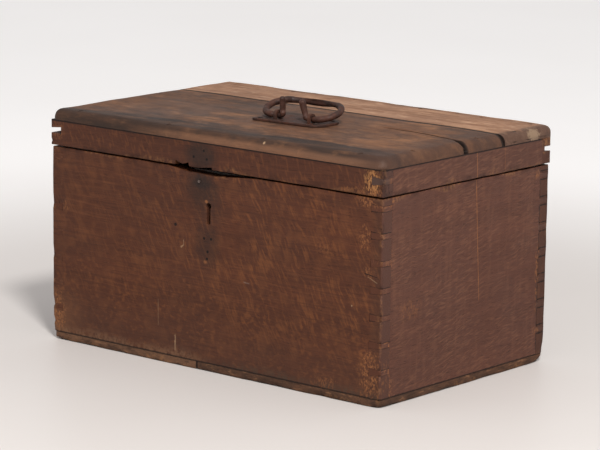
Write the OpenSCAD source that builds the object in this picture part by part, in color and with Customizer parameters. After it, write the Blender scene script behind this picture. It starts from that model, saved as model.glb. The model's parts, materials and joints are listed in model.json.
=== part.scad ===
// Wooden money box: a dovetailed oak chest with a hinged tray lid, an inside lock and a bail handle.
// Millimetres, +Z up. The origin is the centre of the base, on the floor.
// -Y is the front with the keyhole, +X is the right-hand end.
// The chest and its lid were glued up as one closed box and sawn apart at the seam.

/* [Chest] */
// Length of the chest across its front
body_w = 450; // [430:5:480]
// Depth of the chest from front to back
body_d = 280; // [265:5:300]
// Height of the top edge of the chest walls, where the lid was sawn off
seam_z = 211; // [206:1:216]
// Thickness of the wall boards and lid rails
board_t = 15; // [13:0.5:17]
// Thickness of the two bottom boards
bottom_t = 9; // [8:0.5:11]
// Place of the joint between the two bottom boards
bottom_joint_x = -16.4; // [-40:0.1:40]
// Radius of the worn vertical corners of the bottom
bottom_corner_r = 8; // [4:1:12]

/* [Lid] */
// Saw gap between the chest and the lid
seam_gap = 1.2; // [0.8:0.1:1.6]
// Height of the lid rails
rail_h = 27.3; // [26:0.1:32]
// Thickness of the two top boards
top_t = 13; // [11:0.5:15]
// How far the lid stands proud of the front and the ends of the chest
lid_proud = 1; // [0:0.25:2]
// Place of the joint between the front and the rear top board
top_joint_y = 57; // [50:1:60]
// Width of the open joint between the top boards
top_joint_gap = 0.8; // [0.4:0.1:1.2]
// Radius worn on the front and end edges of the top
edge_r = 9; // [6:0.5:10]
// Radius of the worn corners of the lid, seen from above
lid_corner_r = 9; // [5:1:12]

/* [Dovetails] */
// Spacing of the dovetail pins up each corner
pin_pitch = 27.4; // [27:0.1:28]
// Height of the lowest pin's centre
first_pin_z = 36; // [34:0.5:38]
// Height of a pin at its narrow outer side
pin_narrow = 5.2; // [4:0.2:6]
// Height of a pin at its wide inner side
pin_wide = 8.4; // [7:0.2:10]

/* [Lock] */
// Place of the keyhole across the front
key_x = -2; // [-6:0.5:6]
// Depth of the key's axis below the seam
key_drop = 37; // [35:0.5:39]
// Width of the keyhole's slot
keyhole_w = 4.8; // [4.6:0.1:6]
// Place of the lid catch across the front
catch_x = -12.5; // [-14:0.5:-11]

/* [Hinges] */
// Distance of each hinge from the middle of the back
hinge_x = 130; // [100:5:150]
// Width of the strap that runs down the back
strap_w = 30; // [26:1:34]
// Length of the strap that runs down the back
strap_len = 105; // [80:5:130]
// Thickness of the hinge iron
strap_t = 2; // [1.6:0.1:2.2]
// Distance of the hinge axis behind the back of the chest
axis_back = 4; // [3.9:0.1:4.5]
// Outer radius of the rolled knuckles
knuckle_r = 3.6; // [3.4:0.1:3.6]
// Radius of the hinge pin
hinge_pin_r = 2; // [1.6:0.1:2]

/* [Handle] */
// Place of the handle's axis across the lid
handle_x = 26; // [-20:1:30]
// Place of the handle's axis from front to back
handle_y = -40; // [-45:1:-20]
// Turn of the handle away from the lid's length
handle_yaw = 4; // [0:0.5:8]
// Height of the handle's axis above the lid
handle_up = 6; // [6:0.5:8]
// Width of the bail between the middles of its ends
bail_w = 88.5; // [80:0.5:95]
// Depth of the bail between its front and its grip
bail_d = 37.5; // [34:0.5:40]
// Lean of the bail above the lid as it rests
bail_lean = 17.5; // [10:0.5:25]
// Radius of the bail's rod
rod_r = 2.75; // [2.5:0.05:2.8]

/* [Hidden] */
$fn = 48;

// A hair of room between glued or nailed pieces, and a cut's overrun past a face
fit = 0.1;
over = 1;
over_dip = 0.5;

// Chest faces
x_end = body_w / 2;
y_back = body_d / 2;
y_front = -y_back;
y_front_in = y_front + board_t;
y_back_in = y_back - board_t;
x_in = x_end - board_t;

// Lid faces: proud at the front and both ends, flush at the hinged back
lid_x = x_end + lid_proud;
lid_front = y_front - lid_proud;
lid_front_in = lid_front + board_t;
lid_x_in = lid_x - board_t;
rail_z = seam_z + seam_gap;
top_z = rail_z + rail_h;
lid_z = top_z + top_t;

// Dovetail pins run up the whole corner, from the chest into the lid
pin_count = 8;
function pin_z(i) = first_pin_z + i * pin_pitch;
chest_pins = [for (i = [0:pin_count - 2]) pin_z(i)];
lid_pin = pin_z(pin_count - 1);

// Lock, measured from the seam and from the inner face of the front board
lock_y = y_front_in;
lock_plate_t = 2;
lock_plate_lo = [-50, seam_z - 72];
lock_plate_hi = [48, seam_z - 3];
case_y = lock_y + lock_plate_t;
case_lo = [-42, seam_z - 64];
case_hi = [40, seam_z - 6];
case_d = 17;
case_wall = 1.6;
flange_w = 6;
key_z = seam_z - key_drop;
keyhole_len = 19;
bolt_lo = [-9, seam_z - 23];
bolt_hi = [34, seam_z - 15];
bolt_y = lock_y + 8.5;
bolt_t = 4.5;
eye_leg = 3.5;
catch_t = 5;

// Hinge axis, level with the middle of the saw gap
hinge_z = seam_z + seam_gap / 2;
hinge_y = y_back + axis_back;
knuckle_len = strap_w / 3;
knuckle_gap = 0.3;
leaf_w = 80;
leaf_margin = 3;

// Small lock and hasp parts
flange_inset = 8;
guide_w = 3;
bolt_notch_r = 4;
drum_pin_r = 2;
stub_x = -14.8;
stub_drop = 12.7;
stub_depth = 8;
stub_r = 1.5;

// Damage at the seam above the lock, each point as [across the front, height above the sawn edge]
seam_dip = [
  [-57, over_dip], [-57, -0.4], [-33, -3.4], [-15, -4.6],
  [5, -5.3], [40, -1.8], [60, -0.2], [60, over_dip]
];
rail_break_left = [
  [-48, -over_dip], [-47, 4.8], [-43, 3], [-37, 1.9],
  [-32, 3.2], [-29.5, 4.8], [-28, -over_dip]
];
rail_break_right = [[-19, -over_dip], [-7.5, 1.3], [2.7, 2.5], [3.4, -over_dip]];

// Nails
nail_w = 2.2;
nail_head_r = 2.6;
nail_head_h = 1;

// Handle: a stadium-shaped bail held by two eye staples on an iron plate
end_r = bail_d / 2;
side_x = bail_w / 2 - end_r;
bend_r = 4;
spur_len = 14;
spur_tilt = 95;
spur_left_x = -17.5;
spur_right_x = 20;
spur_right_bend = 75;
rod_lap = 0.3;
bend_swell = 0.06;
staple_left_x = -20;
staple_right_x = 23;
eye_gap = 0.45;
eye_t = 2.6;
eye_w = 3.2;
clench_len = 12;
plate_t = 2;
plate_lo = [-45, -12.5];
plate_hi = [42, 31];
plate_corner_r = 13;

// A block between two opposite corners
module block(lo, hi) {
  translate(lo) cube(hi - lo);
}

// A box with rounded vertical corners
module rounded_plan(lo, hi, r) {
  for (x = [lo.x + r, hi.x - r], y = [lo.y + r, hi.y - r]) {
    translate([x, y, lo.z]) cylinder(r = r, h = hi.z - lo.z);
  }
  block([lo.x + r, lo.y, lo.z], [hi.x - r, hi.y, hi.z]);
  block([lo.x, lo.y + r, lo.z], [hi.x, hi.y - r, hi.z]);
}

// A forged nail with its head on the XY plane and its shank down -Z; grown, it cuts its own open hole
module nail(length, grow = 0) {
  s = nail_w + 2 * grow;
  mouth = grow > 0 ? over : 0;
  translate([0, 0, -grow]) cylinder(r = nail_head_r + grow, h = nail_head_h + grow + mouth, $fn = 8);
  translate([-s / 2, -s / 2, -length - grow]) cube([s, s, length + 2 * grow]);
}

// One dovetail pin, from y0 to y1 at the end x_out, seen as a trapezium from the front
module pin(x_out, z, y0, y1, grow = 0) {
  side = sign(x_out);
  x_root = x_out - side * board_t;
  narrow = pin_narrow / 2 + grow;
  wide = pin_wide / 2 + grow;
  translate([0, y1, 0]) rotate([90, 0, 0]) linear_extrude(height = y1 - y0) polygon([
    [x_out + side * grow, z - narrow], [x_out + side * grow, z + narrow],
    [x_root, z + wide], [x_root, z - wide]
  ]);
}

// A wall or rail that carries tails: a full-length board with a socket for each pin
module tail_board(x_out, y0, y1, z0, z1, pins) {
  difference() {
    block([-x_out, y0, z0], [x_out, y1, z1]);
    for (side = [-1, 1], z = pins) {
      pin(side * x_out, z, y0 - over, y1 + over, fit);
    }
  }
}

// Keyhole through the front: a round eye for the key's pipe with a slot below it for the bit
module keyhole(y0, y1) {
  translate([key_x, y1, key_z]) rotate([90, 0, 0]) cylinder(r = keyhole_w / 2 + 1, h = y1 - y0);
  block([key_x - keyhole_w / 2, y0, key_z - keyhole_len], [key_x + keyhole_w / 2, y1, key_z]);
}

// An outline seen from the front, raised to height z and cut through from y0 to y1
module front_cut(outline, z, y0, y1) {
  translate([0, y1, z]) rotate([90, 0, 0]) linear_extrude(height = y1 - y0) polygon(outline);
}

// Places of the nails under the bottom: [x, y]
bottom_nail_x = x_end - 20;
bottom_nail_y = y_back - board_t / 2;
bottom_nail_places = concat(
  [for (i = [0:5], side = [-1, 1]) [-bottom_nail_x + i * bottom_nail_x * 2 / 5, side * bottom_nail_y]],
  [for (side = [-1, 1], y = [-70, 0, 70]) [side * (x_end - board_t / 2), y]]
);
module bottom_nail_set(grow = 0) {
  for (p = bottom_nail_places) {
    translate([p.x, p.y, nail_head_h + 0.3]) mirror([0, 0, 1]) nail(26, grow);
  }
}

// Places of the nails that hold the top boards down on the rails: [x, y]
lid_nail_in = board_t / 2 + 1;
lid_nail_places = concat(
  [for (x = [-190, -64, 64, 190]) [x, lid_front + lid_nail_in]],
  [for (x = [-200, -118, -30, 60, 142, 205]) [x, y_back - lid_nail_in]],
  [for (side = [-1, 1], y = [-85, 20, 85]) [side * (lid_x - lid_nail_in), y]]
);
module lid_nail_set(grow = 0) {
  for (p = lid_nail_places) {
    translate([p.x, p.y, lid_z - nail_head_h - 0.3]) nail(28, grow);
  }
}

// Nails at the corners of the lock plate, driven from the inside
module lock_nail_set(grow = 0) {
  for (x = [lock_plate_lo.x + 4, lock_plate_hi.x - 4], z = [lock_plate_lo.y + 5, lock_plate_hi.y - 5]) {
    translate([x, lock_y + lock_plate_t, z]) rotate([-90, 0, 0]) nail(12, grow);
  }
}

// Nails down the hinge straps, driven from the back
module strap_nail_set(grow = 0) {
  for (side = [-1, 1], i = [0:3]) {
    translate([side * hinge_x, y_back + strap_t, seam_z - 18 - i * (strap_len - 28) / 3])
      rotate([-90, 0, 0]) nail(13, grow);
  }
}

// Nails through the short upper leaves, driven from the back
module leaf_nail_set(grow = 0) {
  for (side = [-1, 1], dx = [-32, 0, 32]) {
    translate([side * hinge_x + dx, y_back + strap_t, rail_z + rail_h * 0.62])
      rotate([-90, 0, 0]) nail(13, grow);
  }
}

// Nails that hold the catch plate to the inside of the lid's front rail
module catch_nail_set(grow = 0) {
  for (dx = [-13, 13]) {
    translate([catch_x + dx, lid_front_in + 2, rail_z + 14]) rotate([-90, 0, 0]) nail(11, grow);
  }
}

// Moves the handle's own frame, X along its axis, to its place on the lid
module at_handle(up = 0) {
  translate([handle_x, handle_y, lid_z + up]) rotate([0, 0, handle_yaw]) children();
}

// Nails at the corners of the handle plate
module handle_nail_set(grow = 0) {
  for (x = [plate_lo.x + 7, plate_hi.x - 9], y = [plate_lo.y + 6, plate_hi.y - 7]) {
    at_handle(plate_t) translate([x, y, 0]) nail(12, grow);
  }
}

// Two square legs of an eye staple through the plate and the lid
module staple_legs(x, grow = 0) {
  leg_in = rod_r + eye_gap;
  foot = -handle_up - top_t - eye_t;
  for (side = [-1, 1]) {
    y = side * (leg_in + eye_t / 2);
    block(
      [x - eye_w / 2 - grow, y - eye_t / 2 - grow, foot],
      [x + eye_w / 2 + grow, y + eye_t / 2 + grow, 0]
    );
  }
}

// ---- Chest walls ----

module front_board() {
  color("#5a3527") difference() {
    tail_board(x_end, y_front, y_front_in, bottom_t, seam_z, chest_pins);
    keyhole(y_front - over, y_front_in + over);
    front_cut(seam_dip, seam_z, y_front - over, y_front_in + over);
    bottom_nail_set(fit);
    lock_nail_set(fit);
    translate([-14.8, y_front + 8, seam_z - 12.7]) rotate([90, 0, 0]) cylinder(r = 1.5 + fit, h = 10);
  }
}

module back_board() {
  color("#4f2f23") difference() {
    tail_board(x_end, y_back_in, y_back, bottom_t, seam_z, chest_pins);
    bottom_nail_set(fit);
    strap_nail_set(fit);
  }
}

// An end wall: a board between the front and the back, with its pins reaching both faces
module end_wall(side) {
  difference() {
    union() {
      block(
        [side > 0 ? x_in : -x_end, y_front_in + fit, bottom_t],
        [side > 0 ? x_end : -x_in, y_back_in - fit, seam_z]
      );
      for (z = chest_pins) pin(side * x_end, z, y_front, y_back);
    }
    bottom_nail_set(fit);
  }
}

module left_board() {
  color("#573126") end_wall(-1);
}

module right_board() {
  color("#633a2c") end_wall(1);
}

// ---- Bottom ----

module bottom_board(x0, x1) {
  difference() {
    intersection() {
      rounded_plan([-x_end, y_front, 0], [x_end, y_back, bottom_t], bottom_corner_r);
      block([x0, y_front - over, -over], [x1, y_back + over, bottom_t + over]);
    }
    bottom_nail_set(fit);
  }
}

module bottom_board_left() {
  color("#6b4a36") bottom_board(-x_end - over, bottom_joint_x - 0.2);
}

module bottom_board_right() {
  color("#4a3026") bottom_board(bottom_joint_x + 0.2, x_end + over);
}

module bottom_nails() {
  color("#33291f") bottom_nail_set();
}

// ---- Lock ----

module lock_plate() {
  color("#4a4440") difference() {
    block([lock_plate_lo.x, lock_y, lock_plate_lo.y], [lock_plate_hi.x, case_y, lock_plate_hi.y]);
    keyhole(lock_y - over, case_y + over);
    lock_nail_set(fit);
    lock_rivet_set(fit);
  }
}

// Case over the works, open towards the plate, with a slot in its top for the lid catch
module lock_case() {
  y1 = case_y + case_d;
  color("#3d3835") difference() {
    union() {
      block([case_lo.x, case_y, case_lo.y], [case_hi.x, y1, case_hi.y]);
      block(
        [case_lo.x - flange_w, case_y, case_lo.y + flange_inset],
        [case_hi.x + flange_w, case_y + case_wall, case_hi.y - flange_inset]
      );
    }
    difference() {
      block(
        [case_lo.x + case_wall, case_y - over, case_lo.y + case_wall],
        [case_hi.x - case_wall, y1 - case_wall, case_hi.y - case_wall]
      );
      for (x = [8, 18]) {
        block([x, bolt_y, case_lo.y], [x + guide_w, y1, bolt_lo.y - 0.3]);
      }
    }
    block(
      [catch_x - catch_t, case_y - over, case_hi.y - 3],
      [catch_x + catch_t, y1 - case_wall, case_hi.y + over]
    );
    lock_rivet_set(fit);
  }
}

// Sliding bolt, shown drawn back, with a notch below for the key's bit
module lock_bolt() {
  color("#6e665f") difference() {
    block([bolt_lo.x, bolt_y, bolt_lo.y], [bolt_hi.x, bolt_y + bolt_t, bolt_hi.y]);
    translate([key_x, bolt_y + bolt_t + over, bolt_lo.y - 1]) rotate([90, 0, 0])
      cylinder(r = bolt_notch_r, h = bolt_t + 2 * over);
  }
}

// Leaf spring under the top of the case that presses on the bolt
module lock_spring() {
  z = bolt_hi.y + 0.3;
  roof = case_hi.y - case_wall;
  color("#7d7468") translate([0, bolt_y + bolt_t, 0]) rotate([90, 0, 0])
    linear_extrude(height = bolt_t) polygon([
      [36, roof], [36, roof - 0.8], [9, z], [6, z], [3, z + 1.4],
      [3, z + 2.2], [6, z + 0.8], [9, z + 0.8], [32, roof]
    ]);
}

// Pin on the back of the case that centres the key's pipe
module lock_drum_pin() {
  color("#5a534d") translate([key_x, case_y + case_d - case_wall, key_z]) rotate([90, 0, 0])
    cylinder(r = drum_pin_r, h = case_d - case_wall - 1.5);
}

module lock_rivet_set(grow = 0) {
  for (x = [case_lo.x - flange_w / 2, case_hi.x + flange_w / 2], z = [case_lo.y + 14, case_hi.y - 14]) {
    translate([x, case_y + case_wall, z]) rotate([90, 0, 0])
      cylinder(r = 1.2 + grow, h = case_wall + lock_plate_t, $fn = 8);
    translate([x, case_y + case_wall + 1, z]) rotate([90, 0, 0]) cylinder(r = 2.2, h = 1, $fn = 8);
  }
}

module lock_rivets() {
  color("#4d4641") lock_rivet_set();
}

module lock_nails() {
  color("#2f2a26") lock_nail_set();
}

// Broken leg of the staple that once took the hasp, left in the front board
module hasp_staple_stub() {
  color("#8d8a86") translate([stub_x, y_front + stub_depth, seam_z - stub_drop]) rotate([90, 0, 0])
    cylinder(r = stub_r, h = stub_depth + 0.8);
}

// ---- Hinges ----

// Rolled knuckle around the hinge axis, from x0 to x1
module knuckle(x0, x1) {
  translate([x0, hinge_y, hinge_z]) rotate([0, 90, 0]) cylinder(r = knuckle_r, h = x1 - x0);
}

// Space along the hinge axis that the other leaf's knuckle turns in
module knuckle_room(x0, x1) {
  translate([x0, hinge_y, hinge_z]) rotate([0, 90, 0]) cylinder(r = knuckle_r + 1, h = x1 - x0);
}

module hinge_bore(xc, r) {
  translate([xc - strap_w / 2 - over, hinge_y, hinge_z]) rotate([0, 90, 0])
    cylinder(r = r, h = strap_w + 2 * over);
}

// Long strap on the back board, with the two outer knuckles
module hinge_strap(xc) {
  half = strap_w / 2;
  mid = knuckle_len / 2;
  z_end = seam_z - strap_len + half;
  color("#453a33") difference() {
    union() {
      block([xc - half, y_back, z_end], [xc + half, y_back + strap_t, hinge_z]);
      translate([xc, y_back + strap_t, z_end]) rotate([90, 0, 0]) cylinder(r = half, h = strap_t);
      knuckle(xc - half, xc - mid);
      knuckle(xc + mid, xc + half);
    }
    knuckle_room(xc - mid - knuckle_gap / 2, xc + mid + knuckle_gap / 2);
    hinge_bore(xc, hinge_pin_r);
    strap_nail_set(fit);
  }
}

module hinge_strap_left() {
  hinge_strap(-hinge_x);
}

module hinge_strap_right() {
  hinge_strap(hinge_x);
}

// Wide leaf on the lid's back rail, with the middle knuckle
module hinge_leaf(xc) {
  half = leaf_w / 2;
  mid = knuckle_len / 2 - knuckle_gap / 2;
  color("#453a33") difference() {
    union() {
      block([xc - half, y_back, hinge_z], [xc + half, y_back + strap_t, top_z - leaf_margin]);
      knuckle(xc - mid, xc + mid);
    }
    for (span = [[-half - over, -strap_w / 2 - 1], [strap_w / 2 + 1, half + over]]) {
      block(
        [xc + span[0], y_back - over, hinge_z - over],
        [xc + span[1], y_back + strap_t + over, rail_z + 2]
      );
    }
    knuckle_room(xc - strap_w / 2 - 1, xc - mid);
    knuckle_room(xc + mid, xc + strap_w / 2 + 1);
    hinge_bore(xc, hinge_pin_r + 0.08);
    leaf_nail_set(fit);
  }
}

module hinge_leaf_left() {
  hinge_leaf(-hinge_x);
}

module hinge_leaf_right() {
  hinge_leaf(hinge_x);
}

// Pin tight in the strap's knuckles, with its ends peened over
module hinge_pin(xc) {
  color("#5c524a") {
    translate([xc - strap_w / 2 - 1, hinge_y, hinge_z]) rotate([0, 90, 0])
      cylinder(r = hinge_pin_r, h = strap_w + 2);
    for (x = [xc - strap_w / 2 - 1, xc + strap_w / 2]) {
      translate([x, hinge_y, hinge_z]) rotate([0, 90, 0]) cylinder(r = hinge_pin_r + 0.8, h = 1);
    }
  }
}

module hinge_pin_left() {
  hinge_pin(-hinge_x);
}

module hinge_pin_right() {
  hinge_pin(hinge_x);
}

module hinge_strap_nails() {
  color("#2f2a26") strap_nail_set();
}

module hinge_leaf_nails() {
  color("#2f2a26") leaf_nail_set();
}

// ---- Lid rails ----

// Front rail, with two places broken out of its lower edge above the lock
module lid_front_rail() {
  color("#57342a") difference() {
    tail_board(lid_x, lid_front, lid_front_in, rail_z, top_z, [lid_pin]);
    for (outline = [rail_break_left, rail_break_right]) {
      front_cut(outline, rail_z, lid_front - over, lid_front_in + over);
    }
    lid_nail_set(fit);
    catch_nail_set(fit);
  }
}

module lid_back_rail() {
  color("#4f2f23") difference() {
    tail_board(lid_x, y_back_in, y_back, rail_z, top_z, [lid_pin]);
    lid_nail_set(fit);
    leaf_nail_set(fit);
  }
}

// An end rail of the lid; pin_front and pin_back are how much of each pin is left
module end_rail(side, pin_front, pin_back) {
  difference() {
    union() {
      block(
        [side > 0 ? lid_x_in : -lid_x, lid_front_in + fit, rail_z],
        [side > 0 ? lid_x : -lid_x_in, y_back_in - fit, top_z]
      );
      pin(side * lid_x, lid_pin, lid_front_in - pin_front, y_back_in + pin_back);
    }
    lid_nail_set(fit);
  }
}

// The left rail has lost its front pin
module lid_left_rail() {
  color("#573126") end_rail(-1, 0, board_t);
}

// The right rail keeps only a stump of its rear pin
module lid_right_rail() {
  color("#66402f") end_rail(1, board_t, 4);
}

// ---- Lid top ----

// Both top boards as one slab, with its front and end edges and its corners worn round
module top_slab() {
  z0 = lid_z - edge_r;
  intersection() {
    rounded_plan([-lid_x, lid_front, top_z], [lid_x, y_back + lid_corner_r, lid_z], lid_corner_r);
    union() {
      block([-lid_x, lid_front - over, top_z], [lid_x, y_back, z0]);
      block([-lid_x + edge_r, lid_front - over, top_z], [lid_x - edge_r, y_back, lid_z]);
      for (side = [-1, 1]) {
        translate([side * (lid_x - edge_r), y_back, z0]) rotate([90, 0, 0])
          cylinder(r = edge_r, h = y_back - lid_front + over);
      }
    }
    union() {
      block([-lid_x - over, lid_front, top_z], [lid_x + over, y_back, z0]);
      block([-lid_x - over, lid_front + edge_r, top_z], [lid_x + over, y_back, lid_z]);
      translate([-lid_x - over, lid_front + edge_r, z0]) rotate([0, 90, 0])
        cylinder(r = edge_r, h = 2 * lid_x + 2 * over);
    }
  }
}

// Wide front board, bored for the handle's staples
module lid_front_top_board() {
  color("#4c3226") difference() {
    intersection() {
      top_slab();
      block(
        [-lid_x - over, lid_front - over, top_z],
        [lid_x + over, top_joint_y - top_joint_gap / 2, lid_z]
      );
    }
    lid_nail_set(fit);
    handle_nail_set(fit);
    for (x = [staple_left_x, staple_right_x]) at_handle(handle_up) staple_legs(x, fit);
  }
}

// Narrow rear board of paler wood
module lid_rear_top_board() {
  color("#9a6f4e") difference() {
    intersection() {
      top_slab();
      block([-lid_x - over, top_joint_y + top_joint_gap / 2, top_z], [lid_x + over, y_back, lid_z]);
    }
    lid_nail_set(fit);
  }
}

module lid_nails() {
  color("#33291f") lid_nail_set();
}

// Catch on the lid: a plate inside the rail with a staple that drops into the lock
module lid_catch() {
  x0 = catch_x - catch_t / 2;
  x1 = catch_x + catch_t / 2;
  leg_1 = bolt_y - 0.5 - eye_leg;
  leg_2 = bolt_y + bolt_t + 0.5;
  foot = bolt_lo.y - 5;
  color("#4a4440") difference() {
    union() {
      block([catch_x - 18, lid_front_in, rail_z + 5.5], [catch_x + 18, lid_front_in + 2, rail_z + 22]);
      block([x0, lid_front_in, rail_z + 2], [x1, leg_2 + eye_leg, rail_z + 6]);
      block([x0, leg_1, foot], [x1, leg_1 + eye_leg, rail_z + 3]);
      block([x0, leg_2, foot], [x1, leg_2 + eye_leg, rail_z + 3]);
      block([x0, leg_1, foot], [x1, leg_2 + eye_leg, bolt_lo.y - 0.7]);
    }
    catch_nail_set(fit);
  }
}

module catch_nails() {
  color("#2f2a26") catch_nail_set();
}

// ---- Handle ----

module handle_plate() {
  color("#4b3a33") difference() {
    at_handle() union() {
      rounded_plan([0, plate_lo.y, 0], [plate_hi.x, plate_hi.y, plate_t], plate_corner_r);
      rounded_plan([plate_lo.x, plate_lo.y, 0], [plate_corner_r, plate_hi.y, plate_t], 3);
    }
    handle_nail_set(fit);
    for (x = [staple_left_x, staple_right_x]) at_handle(handle_up) staple_legs(x, fit);
  }
}

// Eye staple over the bail, its legs driven through the lid and clenched over inside
module eye_staple(x) {
  leg_in = rod_r + eye_gap;
  foot = -handle_up - top_t - eye_t;
  color("#4b352d") at_handle(handle_up) {
    translate([x, 0, 0]) rotate([90, 0, 90]) rotate_extrude(angle = 180) translate([leg_in, -eye_w / 2])
      square([eye_t, eye_w]);
    staple_legs(x);
    for (side = [-1, 1]) {
      translate([x - eye_w / 2, side > 0 ? leg_in : -leg_in - clench_len, foot])
        cube([eye_w, clench_len, eye_t]);
    }
  }
}

module handle_staple_left() {
  eye_staple(staple_left_x);
}

module handle_staple_right() {
  eye_staple(staple_right_x);
}

module handle_nails() {
  color("#33291f") handle_nail_set();
}

// A straight rod along +X, running a little way into the bend at each end
module rod(x0, x1) {
  translate([x0 - rod_lap, 0, 0]) rotate([0, 90, 0]) cylinder(r = rod_r, h = x1 - x0 + 2 * rod_lap);
}

// A bent rod: an arc about +Z from -Y towards +X, left a hair thicker by the hammer
module bent_rod(radius, angle) {
  rotate([0, 0, -90]) rotate_extrude(angle = angle) translate([radius, 0]) circle(r = rod_r + bend_swell);
}

// A spur: the rod bends from +X towards +Y through an angle and ends in a blunt round tip
module spur(angle) {
  translate([0, bend_r, 0]) bent_rod(bend_r, angle);
  translate([bend_r * sin(angle), bend_r * (1 - cos(angle)), 0]) rotate([0, 0, angle]) {
    rod(0, spur_len);
    translate([spur_len, 0, 0]) sphere(r = rod_r + 2 * bend_swell);
  }
}

// Bail: a forged rod bent to a flat-sided loop, its ends brought back along the axis and turned up
module handle_bail() {
  color("#433531") at_handle(handle_up) {
    rotate([bail_lean, 0, 0]) {
      translate([0, bail_d, 0]) rod(-side_x, side_x);
      translate([side_x, end_r, 0]) bent_rod(end_r, 180);
      translate([-side_x, end_r, 0]) mirror([1, 0, 0]) bent_rod(end_r, 180);
    }
    rod(-side_x, spur_left_x);
    rod(spur_right_x, side_x);
    translate([spur_left_x, 0, 0]) rotate([spur_tilt, 0, 0]) spur(90);
    translate([spur_right_x, 0, 0]) mirror([1, 0, 0]) rotate([spur_tilt, 0, 0]) spur(spur_right_bend);
  }
}

front_board();
back_board();
left_board();
right_board();
bottom_board_left();
bottom_board_right();
bottom_nails();
lock_plate();
lock_case();
lock_bolt();
lock_spring();
lock_drum_pin();
lock_rivets();
lock_nails();
hasp_staple_stub();
hinge_strap_left();
hinge_strap_right();
hinge_pin_left();
hinge_pin_right();
hinge_strap_nails();
lid_front_rail();
lid_back_rail();
lid_left_rail();
lid_right_rail();
lid_front_top_board();
lid_rear_top_board();
lid_nails();
hinge_leaf_left();
hinge_leaf_right();
hinge_leaf_nails();
lid_catch();
catch_nails();
handle_plate();
handle_staple_left();
handle_staple_right();
handle_nails();
handle_bail();
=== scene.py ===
"""Looks of the wooden money box: worn oak boards and rusty iron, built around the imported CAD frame.

Metres, +Z up. The frame gives every piece's place. The boards, rails, plates, hinges, lock case, bolt, bail
and lid nails are replaced by detailed copies with rounded, dented and split edges. The small iron parts keep
their CAD mesh. Every piece gets a procedural material, and nothing reaches past the CAD box.
"""

import json
import math

import bmesh
import bpy
from mathutils import Matrix, Vector, noise

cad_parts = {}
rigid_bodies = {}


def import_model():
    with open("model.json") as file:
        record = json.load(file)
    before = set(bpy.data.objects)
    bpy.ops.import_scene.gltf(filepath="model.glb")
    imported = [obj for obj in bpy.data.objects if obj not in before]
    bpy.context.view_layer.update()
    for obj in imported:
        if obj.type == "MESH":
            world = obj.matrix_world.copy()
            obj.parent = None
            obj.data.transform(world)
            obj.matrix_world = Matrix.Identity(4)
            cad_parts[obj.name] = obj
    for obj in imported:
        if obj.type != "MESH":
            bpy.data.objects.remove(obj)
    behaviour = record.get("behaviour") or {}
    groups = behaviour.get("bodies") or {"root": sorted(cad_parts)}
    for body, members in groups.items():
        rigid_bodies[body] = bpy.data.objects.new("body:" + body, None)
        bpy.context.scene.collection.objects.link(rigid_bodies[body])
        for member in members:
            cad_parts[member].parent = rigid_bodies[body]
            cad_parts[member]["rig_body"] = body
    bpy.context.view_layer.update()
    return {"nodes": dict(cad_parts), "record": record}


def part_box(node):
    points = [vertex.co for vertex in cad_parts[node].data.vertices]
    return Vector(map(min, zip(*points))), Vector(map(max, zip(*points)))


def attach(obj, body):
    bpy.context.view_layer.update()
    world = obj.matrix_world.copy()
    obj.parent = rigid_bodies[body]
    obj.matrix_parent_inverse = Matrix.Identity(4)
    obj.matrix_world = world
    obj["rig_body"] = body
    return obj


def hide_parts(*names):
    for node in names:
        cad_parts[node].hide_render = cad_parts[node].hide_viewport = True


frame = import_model()

MM = 0.001
slot_of = {s["node"]: s["material_slot"] for s in frame["record"]["subparts"]}

# ---------------------------------------------------------------- places taken from the frame

LOW_BOARDS = ("front_board", "left_board", "bottom_board_left")
HIGH_BOARDS = ("front_board", "right_board", "back_board")
CHEST_LO = Vector((min(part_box(n)[0][a] for n in LOW_BOARDS) for a in range(3)))
CHEST_HI = Vector((max(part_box(n)[1][a] for n in HIGH_BOARDS) for a in range(3)))
RAIL_LO, RAIL_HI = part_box("lid_front_rail")
TOP_LO, TOP_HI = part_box("lid_front_top_board")
BACK_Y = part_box("back_board")[1].y
LID_LO = RAIL_LO.copy()
LID_HI = Vector((RAIL_HI.x, BACK_Y, TOP_HI.z))
SEAM_Z = CHEST_HI.z
BOTTOM_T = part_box("bottom_board_left")[1].z
JOINT_Y = TOP_HI.y
REAR_LO_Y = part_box("lid_rear_top_board")[0].y
BOTTOM_JOINT_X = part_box("bottom_board_left")[1].x


# ---------------------------------------------------------------- shape helpers

def wobble(p, size, seed=0.0):
    """Smooth noise from -1 to 1 with bumps about size metres across."""
    return noise.noise(Vector((p[0] / size + seed, p[1] / size - seed, p[2] / size + 2.7 * seed)))


def smooth(x):
    x = max(0.0, min(1.0, x))
    return x * x * (3 - 2 * x)


def round_corner(p, a, side_a, limit_a, b, side_b, limit_b, radius):
    """Rounds the convex edge where axis a meets limit_a and axis b meets limit_b."""
    in_a = (limit_a - p[a]) * side_a
    in_b = (limit_b - p[b]) * side_b
    if in_a >= radius or in_b >= radius or in_a < -MM or in_b < -MM:
        return
    da, db = radius - in_a, radius - in_b
    length = math.hypot(da, db)
    if length > radius:
        p[a] = limit_a - side_a * (radius - da * radius / length)
        p[b] = limit_b - side_b * (radius - db * radius / length)


def round_block(p, faces, radius):
    """Rounds all the edges and corners where the listed faces (axis, side, limit) meet."""
    depth = [max(0.0, radius - (limit - p[axis]) * side) for axis, side, limit in faces]
    length = math.sqrt(sum(d * d for d in depth))
    if length > radius:
        for (axis, side, limit), d in zip(faces, depth):
            if d > 0:
                p[axis] = limit - side * (radius - d * radius / length)


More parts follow.
